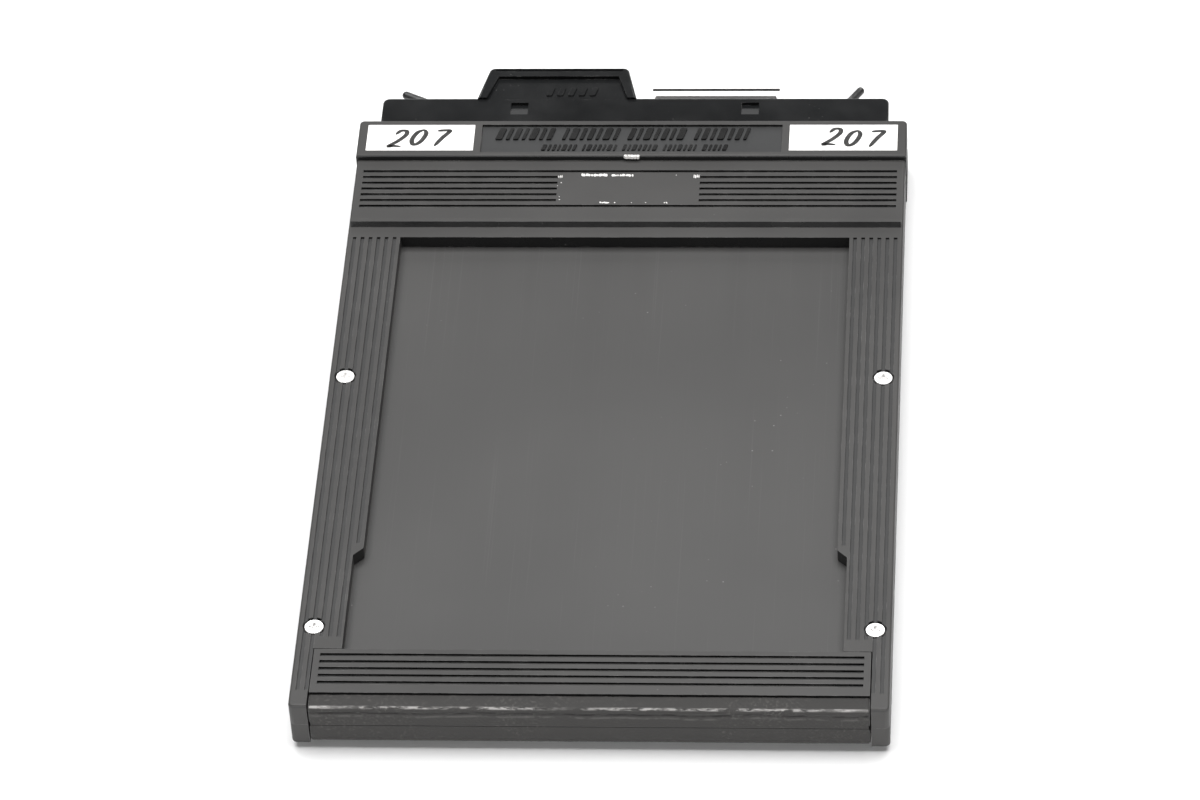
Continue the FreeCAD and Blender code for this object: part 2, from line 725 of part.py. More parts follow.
def make_handle(side):
    """The moulded handle: a bar across the holder and a rimmed finger tab on its left half."""
    body = new_body(f"{side}_slide_handle")
    half = "Dims.bar_half"
    low, high = "Dims.bar_gap", "Dims.bar_up"
    block(body, "bar", f"-{half}", half, low, high, "Dims.bar_low", "Dims.bar_face")
    round_edges(
        body,
        "bar_corners",
        "Dims.bar_round",
        lambda edge: along(edge, AXIS_Z) and edge.CenterOfMass.y > 5,
    )
    face = number("Dims.bar_face")
    round_edges(
        body,
        "bar_edges",
        "Dims.edge_round",
        lambda edge: abs(edge.CenterOfMass.z - face) < 0.01 and edge.CenterOfMass.y > 1,
    )
    tab = new_sketch(body, "tab_sketch", offset="Dims.marker_top")
    tab_outline(tab)
    pad(body, tab, "tab", "Dims.tab_face - Dims.marker_top")
    top = number("Dims.tab_up")
    round_edges(
        body,
        "tab_corners",
        "Dims.tab_round",
        lambda edge: along(edge, AXIS_Z) and edge.CenterOfMass.y > top - 0.1,
    )
    rim = number("Dims.tab_face")
    round_edges(
        body,
        "tab_edges",
        "Dims.edge_round",
        lambda edge: abs(edge.CenterOfMass.z - rim) < 0.01 and edge.CenterOfMass.y > 11.5,
    )
    plate = new_sketch(body, "plate_sketch", offset="Dims.tab_face")
    tab_outline(plate, "Dims.rim_side", "Dims.rim_top", "Dims.bar_up - 0.6")
    pocket(body, plate, "plate", "Dims.tab_face - Dims.tab_plate")
    groove = new_sketch(body, "rim_groove_sketch", offset="Dims.tab_face")
    rectangle(groove, *rim_groove_box())
    pocket(body, groove, "rim_groove", "Dims.rim_groove_depth")
    block(body, "key", *rim_groove_box("Dims.key_gap"), "Dims.key_low", "Dims.marker_top")
    for hand, sign in HANDS:
        start = f"{sign} * Dims.dimple_x - Dims.dimple_wide / 2"
        wedge = new_sketch(body, f"{hand}_dimple_sketch", "YZ_Plane", start)
        high = "Dims.dimple_low + Dims.dimple_tall"
        corners = [
            ("Dims.dimple_low", "Dims.bar_face"),
            (high, "Dims.bar_face"),
            (high, "Dims.bar_face - Dims.dimple_depth"),
        ]
        outline(wedge, corners)
        pocket(body, wedge, f"{hand}_dimple", "Dims.dimple_wide", away=True)
    sheet_top = "Dims.sheet_low + Dims.sheet_thick"
    root = "Dims.bar_gap + Dims.sheet_root"
    wide = "Dims.sheet_half"
    carve(body, "sheet_slot", f"-{wide}", wide, "-1", root, "Dims.sheet_low", sheet_top)
    seat(body, f"{side}_slide_handle", side)


def make_marker(side):
    """The white rim on the tab's inner face that shows unexposed film."""
    body = new_body(f"{side}_slide_marker")
    tab = new_sketch(body, "tab_sketch", offset="Dims.marker_low")
    tab_outline(tab, foot="Dims.bar_up")
    pad(body, tab, "tab", "Dims.marker_top - Dims.marker_low")
    top = number("Dims.tab_up")
    round_edges(
        body,
        "tab_corners",
        "Dims.tab_round",
        lambda edge: along(edge, AXIS_Z) and edge.CenterOfMass.y > top - 0.1,
    )
    plate = new_sketch(body, "plate_sketch", offset="Dims.marker_top")
    tab_outline(plate, "Dims.rim_side", "Dims.rim_top", "Dims.bar_up - 1")
    pocket(body, plate, "plate", "Dims.marker_top")
    key_slot = new_sketch(body, "key_slot_sketch", offset="Dims.marker_top")
    rectangle(key_slot, *rim_groove_box())
    pocket(body, key_slot, "key_slot", "Dims.marker_top")
    seat(body, f"{side}_slide_marker", side)


# ---------------------------------------------------------------- loading flaps


def make_flap(side):
    """The ribbed flap with its end wall."""
    half = "(Dims.body_width / 2 - Dims.cheek - Dims.flap_gap)"
    body = new_body(f"{side}_flap")
    section = new_sketch(body, "section", "YZ_Plane")
    seam = "-Dims.flap_down - Dims.flap_gap / 2"
    bed = "Dims.face - Dims.tape_rebate"
    outline(
        section,
        [
            (seam, "Dims.flap_low"),
            (seam, "Dims.face"),
            ("-Dims.tape_down", "Dims.face"),
            ("-Dims.tape_down", bed),
            ("-Dims.flap_end", bed),
            ("-Dims.flap_end", "Dims.flap_wall_low"),
            ("-Dims.flap_wall", "Dims.flap_wall_low"),
            ("-Dims.flap_wall", "Dims.flap_low"),
        ],
    )
    pad(body, section, "shell", f"2 * {half}", midplane=True)
    end = -number("Dims.flap_end")
    top = number(bed)
    round_edges(
        body,
        "end_edge",
        "Dims.flap_round",
        lambda edge: along(edge, AXIS_X)
        and abs(edge.CenterOfMass.y - end) < 0.01
        and abs(edge.CenterOfMass.z - top) < 0.01,
    )
    grooves = new_sketch(body, "grooves_sketch", offset="Dims.face")
    for index in range(FLAP_RIB_COUNT):
        middle = f"-Dims.flap_rib_down - {index} * Dims.flap_rib_pitch"
        low = f"{middle} - Dims.rib_groove / 2"
        high = f"{middle} + Dims.rib_groove / 2"
        rectangle(grooves, "-Dims.flap_rib_half", "Dims.flap_rib_half", low, high)
    pocket(body, grooves, "grooves", "Dims.rib_depth")
    seat(body, f"{side}_flap", side)



def make_flap_felt(side):
    """The felt under the flap's lip that closes on the slide's tip."""
    half = "Dims.sheet_half"
    low = "-Dims.flap_wall + 0.3"
    high = "-Dims.flap_down - 0.6"
    bottom = "Dims.flap_low - Dims.flap_felt"
    label = f"{side}_flap_felt"
    plate_node(label, label, side, f"-{half}", half, low, high, bottom, "Dims.flap_low")


def make_hinge_tape(side):
    """Half of the cloth tape: it wraps the flap's end and folds at the mid-plane."""
    end = -number("Dims.flap_end")
    bed = "Dims.face - Dims.tape_rebate"
    top = number(bed)
    tape = new_body(f"{side}_hinge_tape")
    section = new_sketch(tape, "section", "YZ_Plane")
    outline(
        section,
        [
            ("-Dims.tape_down", bed),
            ("-Dims.tape_down", f"{bed} + Dims.tape_thick"),
            ("-Dims.flap_end - Dims.tape_thick", f"{bed} + Dims.tape_thick"),
            ("-Dims.flap_end - Dims.tape_thick", "Dims.tape_low"),
            ("-Dims.flap_end", "Dims.tape_low"),
            ("-Dims.flap_end", bed),
        ],
    )
    pad(tape, section, "strip", "2 * Dims.tape_half", midplane=True)
    round_edges(
        tape,
        "inner_fold",
        "Dims.flap_round",
        lambda edge: along(edge, AXIS_X)
        and abs(edge.CenterOfMass.y - end) < 0.01
        and abs(edge.CenterOfMass.z - top) < 0.01,
    )
    skin = number("Dims.tape_thick")
    round_edges(
        tape,
        "outer_fold",
        "Dims.flap_round + Dims.tape_thick",
        lambda edge: along(edge, AXIS_X)
        and abs(edge.CenterOfMass.y - end + skin) < 0.01
        and abs(edge.CenterOfMass.z - top - skin) < 0.01,
    )
    seat(tape, f"{side}_hinge_tape", side)


# ---------------------------------------------------------------- lock hooks


def make_hook(hand, sign):
    """A bent wire that swivels in its bush; its arm leans outwards, clear above the bars."""
    x = f"{sign} * Dims.hook_x"
    wire = "Dims.hook_wire"
    bend = "Dims.hook_bend"
    rise = f"Dims.{hand}_rise"
    stem_length = "Dims.hook_root + Dims.hook_stem"
    stem = cylinder(f"{hand}_stem", wire, stem_length, (x, "-Dims.hook_root", "0"), AXIS_Y)
    centre_x = f"{x} + {sign} * {bend}"
    sizes = {"Radius1": bend, "Radius2": f"{wire} / 2", "Angle3": f"90 - {rise}"}
    elbow = primitive("Torus", f"{hand}_elbow", sizes, (centre_x, "Dims.hook_stem", "0"))
    elbow.Placement.Rotation = FreeCAD.Rotation(AXIS_Z, 90 + number(rise) if sign > 0 else 0)
    arm_x = f"{centre_x} - {sign} * {bend} * sin({rise})"
    arm_y = f"Dims.hook_stem + {bend} * cos({rise})"
    lean = math.radians(number(rise))
    along_arm = Vector(sign * math.cos(lean), math.sin(lean), 0)
    arm = cylinder(f"{hand}_arm", wire, "Dims.hook_arm", (arm_x, arm_y, "0"), along_arm)
    tip_x = f"{arm_x} + {sign} * Dims.hook_arm * cos({rise})"
    tip_y = f"{arm_y} + Dims.hook_arm * sin({rise})"
    tip = primitive("Sphere", f"{hand}_tip", {"Radius": f"{wire} / 2"}, (tip_x, tip_y, "0"))
    seat(fused(f"{hand}_wire", [stem, elbow, arm, tip]), f"{hand}_hook")


def make_bushes():
    """Thin sleeves in the parting face that the hooks turn in."""
    sleeves = []
    for hand, sign in HANDS:
        place = (f"{sign} * Dims.hook_x", "-Dims.bush_long", "0")
        sleeve = cylinder(f"{hand}_sleeve", "Dims.bush_outer", "Dims.bush_long", place, AXIS_Y)
        bore = cylinder(f"{hand}_sleeve_bore", "Dims.bush_bore", "Dims.bush_long", place, AXIS_Y)
        sleeves.append(cut(f"{hand}_bush", sleeve, bore))
    seat(group("bushes", sleeves), "hook_bushes")


# ---------------------------------------------------------------- the whole holder


def build():
    fill_sheet()
    make_septum()
    for side in SIDES:
        make_frame(side)
        make_light_trap(side)
        for hand, sign in HANDS:
            make_film_guide(side, hand, sign)
            make_label(side, hand, sign)
        make_sheet(side)
        make_handle(side)
        make_marker(side)
        make_flap(side)
        make_flap_felt(side)
        make_hinge_tape(side)
    for hand, sign in HANDS:
        make_hook(hand, sign)
    make_bushes()
    make_fasteners()
    doc.recompute()


def check():
    """Stops unless every object recomputed and every node is a valid solid."""
    for item in doc.Objects:
        if "Invalid" in item.State or "Error" in item.State:
            raise RuntimeError(f"{item.Label} failed to recompute")
    for node in nodes:
        if node.Shape.isNull() or not node.Shape.isValid() or not node.Shape.Solids:
            raise RuntimeError(f"{node.Label} has no valid solid")


def write():
    os.makedirs("parts", exist_ok=True)
    for node in nodes:
        node.Shape.exportStep(f"parts/{node.Label}.step")
        bounds = node.Shape.BoundBox
        print(f"{node.Label}: {bounds.XLength:.2f} x {bounds.YLength:.2f} x {bounds.ZLength:.2f} mm")


build()
check()
write()
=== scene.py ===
import json
import math
import random

import bmesh
import bpy
from mathutils import Matrix, Vector, noise


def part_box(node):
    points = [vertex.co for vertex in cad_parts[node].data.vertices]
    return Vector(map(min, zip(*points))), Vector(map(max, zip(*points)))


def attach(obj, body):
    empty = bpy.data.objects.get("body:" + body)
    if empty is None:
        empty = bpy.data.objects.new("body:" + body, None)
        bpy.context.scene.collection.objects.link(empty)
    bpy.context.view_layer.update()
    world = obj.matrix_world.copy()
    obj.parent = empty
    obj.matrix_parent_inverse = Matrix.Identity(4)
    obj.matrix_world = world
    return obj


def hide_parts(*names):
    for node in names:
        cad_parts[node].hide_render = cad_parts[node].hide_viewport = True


# A double sheet film holder lying on a pale table, front face up.  Units are metres.
# +X is across the holder, +Y along it towards the handles, +Z out of its front face.
# New pieces are drawn in half-holder millimetres: x across, y from the label band's top edge
# (so the body runs down to negative y), z out from the mid-plane, the same for both sides.

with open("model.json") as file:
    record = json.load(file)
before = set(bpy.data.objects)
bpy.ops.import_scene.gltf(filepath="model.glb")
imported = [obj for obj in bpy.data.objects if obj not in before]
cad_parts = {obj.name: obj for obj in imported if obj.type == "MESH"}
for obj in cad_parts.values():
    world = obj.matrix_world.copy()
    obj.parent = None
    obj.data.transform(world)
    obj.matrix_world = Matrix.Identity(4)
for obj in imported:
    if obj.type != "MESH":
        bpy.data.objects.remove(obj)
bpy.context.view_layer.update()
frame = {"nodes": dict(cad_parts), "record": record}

MM = 0.001
NODES = frame["nodes"]
SIDES = ("front", "back")
HANDS = (("left", -1), ("right", 1))


# Where things are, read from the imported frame, in metres.
FRONT_LOW, FRONT_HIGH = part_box("front_frame")
MID_PLANE = FRONT_LOW.z
BODY_TOP = FRONT_HIGH.y
LABEL_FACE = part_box("front_label_right")[1].z
TAPE_LOW, TAPE_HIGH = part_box("front_hinge_tape")

# Half-holder sizes in millimetres: out from the mid-plane, or down from the band's top edge.
BAND_FACE = (FRONT_HIGH.z - MID_PLANE) / MM
BODY_FACE = 5.5
RAIL_SPAN = (48.9, 59.8)
PANEL_FLOOR = BAND_FACE - 0.6
PANEL_HALF = 33.0
PANEL_DOWN = (1.5, 10.5)
PAD_HALF = 15.5
PAD_DOWN = (16.5, 25.4)
TAB_PLATE = 4.6
SUNK = 0.05


def to_side(side):
    """Half-holder axes, z out from the mid-plane, to the frame's axes on one side of the holder."""
    turn = 0 if side == "front" else math.pi
    return Matrix.Translation((0, 0, MID_PLANE)) @ Matrix.Rotation(turn, 4, "Y")


# ---------------------------------------------------------------- materials


class Recipe:
    """A node material being put together; sockets are found by name."""

    def __init__(self, name, **values):
        self.material = bpy.data.materials.new(name)
        self.material.use_nodes = True
        self.tree = self.material.node_tree
        self.shader = self.tree.nodes["Principled BSDF"]
        for key, value in values.items():
            self.shader.inputs[key.replace("_", " ")].default_value = value
        self.coordinates = self.node("ShaderNodeTexCoord", out="Object")

    def put(self, socket, value):
        if isinstance(value, bpy.types.NodeSocket):
            self.tree.links.new(value, socket)
        else:
            socket.default_value = value

    def node(self, kind, out=0, inputs=None, **settings):
        item = self.tree.nodes.new(kind)
        for key, value in settings.items():
            setattr(item, key, value)
        for key, value in (inputs or {}).items():
            self.put(item.inputs[key], value)
        return item.outputs[out]

    def stretched(self, x, y, z):
        """Object coordinates scaled to a pattern's own repeats per metre."""
        inputs = {"Vector": self.coordinates, "Scale": (x, y, z)}
        return self.node("ShaderNodeMapping", inputs=inputs)

    def place(self, axis):
        """One object coordinate, in metres."""
        return self.node("ShaderNodeSeparateXYZ", out="XYZ".index(axis), inputs={0: self.coordinates})

    def noise(self, scale, detail=2.0, rough=0.5, vector=None):
        inputs = {
            "Vector": vector or self.coordinates,
            "Scale": scale,
            "Detail": detail,
            "Roughness": rough,
        }
        return self.node("ShaderNodeTexNoise", inputs=inputs)

    def cells(self, scale, vector=None):
        inputs = {"Vector": vector or self.coordinates, "Scale": scale}
        return self.node("ShaderNodeTexVoronoi", inputs=inputs)

    def band(self, value, low, high, to_low=0.0, to_high=1.0):
        """A smooth step of the value from low to high."""
        inputs = {0: value, 1: low, 2: high, 3: to_low, 4: to_high}
        return self.node("ShaderNodeMapRange", inputs=inputs, interpolation_type="SMOOTHSTEP")

    def maths(self, operation, *values):
        item = self.tree.nodes.new("ShaderNodeMath")
        item.operation = operation
        for socket, value in zip(item.inputs, values):
            self.put(socket, value)
        return item.outputs[0]

    def both(self, *masks):
        """The product of several masks."""
        result = masks[0]
        for mask in masks[1:]:
            result = self.maths("MULTIPLY", result, mask)
        return result

    def mixed(self, share, first, second):
        """Two colours mixed by a share."""
        item = self.tree.nodes.new("ShaderNodeMix")
        item.data_type = "RGBA"
        self.put(item.inputs[0], share)
        self.put(item.inputs[6], first)
        self.put(item.inputs[7], second)
        return item.outputs[2]

    def edges(self, radius, low=0.02, high=0.25):
        """A mask of the edges: where the normal of a rounded edge leaves the flat one."""
        rounded = self.node("ShaderNodeBevel", samples=6, inputs={"Radius": radius})
        flat = self.node("ShaderNodeNewGeometry", out="Normal")
        inputs = {0: rounded, 1: flat}
        facing = self.node("ShaderNodeVectorMath", out="Value", inputs=inputs, operation="DOT_PRODUCT")
        return self.band(self.maths("SUBTRACT", 1.0, facing), low, high)

    def bump(self, height, strength, distance, below=None):
        inputs = {"Height": height, "Strength": strength, "Distance": distance}
        if below is not None:
            inputs["Normal"] = below
        return self.node("ShaderNodeBump", inputs=inputs)

    def finish(self, colour=None, roughness=None, normal=None):
        for name, value in (("Base Color", colour), ("Roughness", roughness), ("Normal", normal)):
            if value is not None:
                self.put(self.shader.inputs[name], value)
        return self.material


def grey(value, warmth=0.0):
    """An opaque near-neutral colour; warmth shifts it from blue to red."""
    return (value * (1 + warmth), value, value * (1 - warmth), 1.0)


def moulded_plastic(name, tone, warmth, gloss, wear, panel=None):
    """Black moulded plastic: fine spark-eroded grain, walls facing the flap end made glossier and painted
    near-black as shade, smudges, dust, rubbed edges.

    Panel is the half width, low end and high end of the smoother floor of the name panel; a piece
    that has one has rails too, and the floors of their grooves are coloured darker."""
    mix = Recipe(name, Specular_IOR_Level=0.4)
    patches = mix.noise(28, 3)
    smudges = mix.noise(70, 4, 0.6)
    grain = mix.noise(5200, 2)
    ripple = mix.noise(420, 2)
    rub = mix.both(mix.edges(0.3 * MM), mix.band(mix.noise(260, 4, 0.7), 0.45, 0.68), wear)
    dust = mix.both(mix.band(mix.cells(620), 0.16, 0.05), mix.band(mix.noise(60, 3), 0.55, 0.78, 0.0, 0.4))
    base = mix.mixed(mix.band(patches, 0.3, 0.7), grey(tone * 0.85, warmth), grey(tone * 1.15, warmth))
    roughness = mix.band(smudges, 0.3, 0.75, gloss - 0.05, gloss + 0.07)
    if panel:
        half, low, high = panel
        inside = mix.both(
            mix.band(mix.maths("ABSOLUTE", mix.place("X")), half, half - 0.2 * MM),
            mix.band(mix.place("Y"), low, low + 0.2 * MM),
            mix.band(mix.place("Y"), high, high - 0.2 * MM),
        )
        base = mix.mixed(inside, base, grey(tone * 0.75, -0.02))
        across = mix.maths("ABSOLUTE", mix.place("X"))
        height = mix.maths("ABSOLUTE", mix.maths("SUBTRACT", mix.place("Z"), MID_PLANE))
        # The floors of the rail grooves, a band just under the body face, are coloured darker.
        floors = mix.both(
            mix.band(across, RAIL_SPAN[0] * MM, (RAIL_SPAN[0] + 0.3) * MM),
            mix.band(across, RAIL_SPAN[1] * MM, (RAIL_SPAN[1] - 0.2) * MM),
            mix.band(height, (BODY_FACE - 0.25) * MM, (BODY_FACE - 0.4) * MM),
            mix.band(height, (BODY_FACE - 0.8) * MM, (BODY_FACE - 0.6) * MM),
        )
        base = mix.mixed(floors, base, grey(tone * 0.75))
        roughness = mix.maths("SUBTRACT", roughness, mix.maths("MULTIPLY", inside, 0.06))
    # Walls facing the flap end, other than the flap's own end face, are painted near-black as shade and made
    # glossier.
    outward = mix.node("ShaderNodeTexCoord", out="Normal")
    facing = mix.node("ShaderNodeSeparateXYZ", out=1, inputs={0: outward})
    inboard = mix.band(mix.place("Y"), TAPE_LOW.y + MM, TAPE_LOW.y + 2 * MM)
    painted_shade_walls = mix.both(mix.band(facing, -0.5, -0.8), inboard)
    base = mix.mixed(painted_shade_walls, base, grey(tone * 0.15))
    roughness = mix.maths("SUBTRACT", roughness, mix.maths("MULTIPLY", painted_shade_walls, gloss - 0.24))
    base = mix.mixed(rub, base, grey(0.22, 0.02))
    base = mix.mixed(dust, base, grey(0.18, 0.03))
    fine = mix.bump(grain, 0.35, 0.02 * MM)
    normal = mix.bump(ripple, 0.10, 0.03 * MM, fine)
    return mix.finish(base, roughness, normal)


def slide_plastic(name, tone, warmth):
    """The dark slide's sheet: smooth, with fine scratches along its travel."""
    mix = Recipe(name, Specular_IOR_Level=0.5)
    scratches = mix.band(mix.noise(1.0, 3, 0.6, mix.stretched(2600, 14, 200)), 0.60, 0.74)
    rubbing = mix.noise(1.0, 3, 0.6, mix.stretched(160, 5, 50))
    patches = mix.noise(16, 3)
    specks = mix.both(mix.band(mix.cells(380), 0.09, 0.03), mix.band(mix.noise(45, 3), 0.55, 0.72, 0.0, 0.6))
    base = mix.mixed(mix.band(patches, 0.3, 0.7), grey(tone * 0.9, warmth), grey(tone * 1.1, warmth))
    base = mix.mixed(mix.maths("MULTIPLY", scratches, 0.06), base, grey(0.2, 0.02))
    base = mix.mixed(specks, base, grey(0.25, 0.02))
    rough = mix.band(rubbing, 0.3, 0.7, 0.45, 0.50)
    normal = mix.bump(scratches, 0.06, 0.006 * MM)
    normal = mix.bump(mix.noise(3600, 2), 0.22, 0.012 * MM, normal)
    return mix.finish(base, rough, normal)


def binding_cloth(name, end_y, top_z):
    """Black book-binding cloth, rubbed pale along its fold, with painted shade in the crease just under it
    and a fainter pale line below that.
    """
    mix = Recipe(name, Specular_IOR_Level=0.15, Sheen_Weight=0.05, Sheen_Roughness=0.5)
    pitch = 0.40 * MM
    wobble = mix.maths("MULTIPLY", mix.noise(900, 2), 1.6)
    across = mix.maths("SUBTRACT", mix.place("Z"), mix.place("Y"))
    turns = 2 * math.pi / pitch
    waves = []
    for run in (mix.place("X"), across):
        angle = mix.maths("ADD", mix.maths("MULTIPLY", run, turns), wobble)
        waves.append(mix.maths("SINE", angle))
    weave = mix.band(mix.maths("MULTIPLY", *waves), -0.9, 0.9)
    fibres = mix.noise(7000, 3, 0.7)
    outward = mix.maths("ABSOLUTE", mix.maths("SUBTRACT", mix.place("Z"), MID_PLANE))
    corner = mix.both(
        mix.band(outward, top_z - 0.55 * MM, top_z - 0.25 * MM),
        mix.band(mix.place("Y"), end_y + 0.95 * MM, end_y + 0.6 * MM),
    )
    broken = mix.band(mix.noise(1.0, 4, 0.75, mix.stretched(330, 1200, 1200)), 0.42, 0.60)
    patchy = mix.band(mix.noise(60, 3), 0.35, 0.60, 0.25, 1.0)
    ends = mix.band(mix.maths("ABSOLUTE", mix.place("X")), 42 * MM, 53 * MM, 0.0, 0.35)
    rub = mix.both(corner, mix.maths("ADD", mix.both(broken, patchy), ends))
    worn = mix.both(mix.band(mix.noise(1500, 4, 0.75), 0.52, 0.68), mix.band(mix.noise(130, 3), 0.4, 0.65))
    base = mix.mixed(weave, grey(0.025, 0.03), grey(0.050, 0.03))
    base = mix.mixed(mix.maths("MULTIPLY", worn, 0.35), base, grey(0.13, 0.06))
    base = mix.mixed(mix.maths("MULTIPLY", rub, 0.85), base, grey(0.34, 0.03))
    # Two lines across the end face under the fold: a near-black one painted as shade in the crease, and a
    # fainter pale one below it.
    wave = mix.maths("SUBTRACT", mix.noise(1.0, 2, 0.5, mix.stretched(70, 1, 1)), 0.5)
    below = mix.maths("SUBTRACT", MID_PLANE + top_z, mix.place("Z"))
    below = mix.maths("SUBTRACT", below, mix.maths("MULTIPLY", wave, 1.8 * MM))
    end_face = mix.band(mix.place("Y"), end_y + 0.5 * MM, end_y + 0.3 * MM)
    for depth, share, shade in ((1.35, 0.75, 0.010), (2.3, 0.3, 0.13)):
        off = mix.maths("ABSOLUTE", mix.maths("SUBTRACT", below, depth * MM))
        patch = mix.band(mix.noise(1.0, 4, 0.7, mix.stretched(150 * depth, 500, 500)), 0.40, 0.56)
        line = mix.both(end_face, mix.band(off, 0.42 * MM, 0.12 * MM), patch, share)
        base = mix.mixed(line, base, grey(shade, 0.04))
    normal = mix.bump(weave, 0.5, 0.05 * MM)
    normal = mix.bump(fibres, 0.4, 0.03 * MM, normal)
    return mix.finish(base, mix.band(fibres, 0.3, 0.7, 0.55, 0.72), normal)


def paper_white(name, tone, grime):
    """A matt white writing surface with faint fibres and handling marks."""
    mix = Recipe(name, Specular_IOR_Level=0.35)
    fibres = mix.noise(2600, 4, 0.65)
    marks = mix.band(mix.noise(190, 5, 0.7), 0.56, 0.74)
    rub = mix.maths("MULTIPLY", mix.edges(0.4 * MM), 0.5)
    base = mix.mixed(mix.band(fibres, 0.3, 0.7), grey(tone, 0.012), grey(tone * 0.96, 0.02))
    base = mix.mixed(mix.maths("MULTIPLY", marks, grime), base, grey(0.42, 0.03))
    base = mix.mixed(mix.maths("MULTIPLY", rub, grime), base, grey(0.35, 0.04))
    normal = mix.bump(fibres, 0.2, 0.01 * MM)
    return mix.finish(base, mix.band(fibres, 0.3, 0.7, 0.52, 0.66), normal)


def worn_metal(name, tone, warmth, gloss, grain=(900, 900, 900), dirt=0.35):
    """Bare metal with tool marks and patches of dirt."""
    mix = Recipe(name, Metallic=1.0)
    marks = mix.noise(1.0, 3, 0.6, mix.stretched(*grain))
    soil = mix.maths("MULTIPLY", mix.band(mix.noise(800, 4, 0.7), 0.5, 0.75), dirt)
    base = mix.mixed(mix.band(marks, 0.3, 0.7), grey(tone * 0.9, warmth), grey(tone, warmth))
    base = mix.mixed(soil, base, grey(0.12, 0.06))
    rough = mix.band(marks, 0.3, 0.7, gloss, gloss + 0.14)
    return mix.finish(base, rough, mix.bump(marks, 0.15, 0.01 * MM))


def blackened_metal(name, tone, rubbed):
    """Blackened or anodised metal, rubbed bright in places."""
    mix = Recipe(name, Metallic=0.55, Specular_IOR_Level=0.5)
    mottle = mix.noise(700, 4, 0.6)
    rub = mix.maths("MULTIPLY", mix.band(mix.noise(520, 4, 0.7), 0.52, 0.68), rubbed)
    base = mix.mixed(mix.band(mottle, 0.3, 0.7), grey(tone * 0.8), grey(tone * 1.2))
    base = mix.mixed(rub, base, grey(0.45, 0.02))
    rough = mix.band(mottle, 0.3, 0.7, 0.34, 0.5)
    return mix.finish(base, rough, mix.bump(mix.noise(2500, 2), 0.15, 0.01 * MM))


def felt_cloth(name):
    """Dense black felt: matted fibres with a soft nap."""
    mix = Recipe(name, Specular_IOR_Level=0.2, Sheen_Weight=0.6, Sheen_Roughness=0.45)
    mat = mix.noise(3800, 5, 0.75)
    clumps = mix.noise(700, 3, 0.6)
    base = mix.mixed(mix.band(mat, 0.3, 0.7), grey(0.012), grey(0.04, 0.02))
    base = mix.mixed(mix.band(clumps, 0.35, 0.7, 0.0, 0.4), base, grey(0.03, 0.03))
    normal = mix.bump(mat, 0.9, 0.08 * MM)
    return mix.finish(base, mix.band(clumps, 0.3, 0.7, 0.85, 0.97), normal)


def pen_ink(name):
    """Felt-tip ink that soaked in unevenly."""
    mix = Recipe(name, Specular_IOR_Level=0.3)
    soak = mix.noise(2200, 4, 0.7)
    base = mix.mixed(mix.band(soak, 0.35, 0.75), grey(0.012), grey(0.06, 0.03))
    return mix.finish(base, mix.band(soak, 0.3, 0.7, 0.5, 0.7), mix.bump(soak, 0.2, 0.01 * MM))


def old_adhesive(name):
    """Crumbs of dried white adhesive and chipped paint."""
    mix = Recipe(name, Specular_IOR_Level=0.35)
    crumble = mix.noise(3200, 4, 0.7)
    base = mix.mixed(mix.band(crumble, 0.3, 0.72), grey(0.50, 0.03), grey(0.88, 0.02))
    return mix.finish(base, mix.band(crumble, 0.3, 0.7, 0.55, 0.8), mix.bump(crumble, 0.5, 0.03 * MM))


def table_top(name):
    mix = Recipe(name, Specular_IOR_Level=0.3)
    base = mix.mixed(mix.band(mix.noise(9, 3), 0.3, 0.7), grey(0.84), grey(0.86))
    return mix.finish(base, mix.band(mix.noise(40, 3), 0.3, 0.7, 0.6, 0.7))


PANEL = (PANEL_HALF * MM, BODY_TOP - PANEL_DOWN[1] * MM, BODY_TOP - PANEL_DOWN[0] * MM)
MATERIALS = {
    "black_plastic": moulded_plastic("black_plastic_look", 0.036, 0.03, 0.52, 0.45, PANEL),
    "polished_plastic": moulded_plastic("polished_plastic_look", 0.010, 0.0, 0.26, 0.25),
    "handle_plastic": moulded_plastic("handle_plastic_look", 0.008, -0.05, 0.20, 0.3),
    "slide_sheet": slide_plastic("slide_sheet_look", 0.037, 0.025),
    "marker_white": paper_white("marker_white_look", 0.82, 0.3),
    "label_white": paper_white("label_white_look", 0.88, 0.22),
    "septum_metal": blackened_metal("septum_metal_look", 0.035, 0.05),
    "guide_metal": blackened_metal("guide_metal_look", 0.045, 0.2),
    "hook_wire": blackened_metal("hook_wire_look", 0.05, 0.4),
    "felt": felt_cloth("felt_look"),
    "hinge_cloth": binding_cloth("hinge_cloth_look", TAPE_LOW.y, TAPE_HIGH.z - MID_PLANE),
    "spring_steel": worn_metal("spring_steel_look", 0.55, 0.0, 0.28, (200, 3000, 3000)),
    "screw_steel": worn_metal("screw_steel_look", 0.95, 0.01, 0.34, (1500, 1500, 1500), 0.06),
    "brass": worn_metal("brass_look", 0.62, 0.28, 0.25),
    "ink": pen_ink("ink_look"),
    "adhesive": old_adhesive("adhesive_look"),
}


def dress_nodes():
    """Gives each carried-over CAD node the finish of its slot and small real edge breaks."""
    slots = {item["node"]: item["material_slot"] for item in frame["record"]["subparts"]}
    for name, item in NODES.items():
        item.data.materials.clear()
        item.data.materials.append(MATERIALS[slots[name]])
        if slots[name] in ("black_plastic", "handle_plastic"):
            weld = item.modifiers.new("weld", "WELD")
            weld.merge_threshold = 0.002 * MM
            bevel = item.modifiers.new("edge_break", "BEVEL")
            bevel.width = 0.12 * MM
            bevel.segments = 2
            bevel.limit_method = "ANGLE"
            bevel.angle_limit = math.radians(40)
            bevel.harden_normals = True


# ---------------------------------------------------------------- mesh helpers


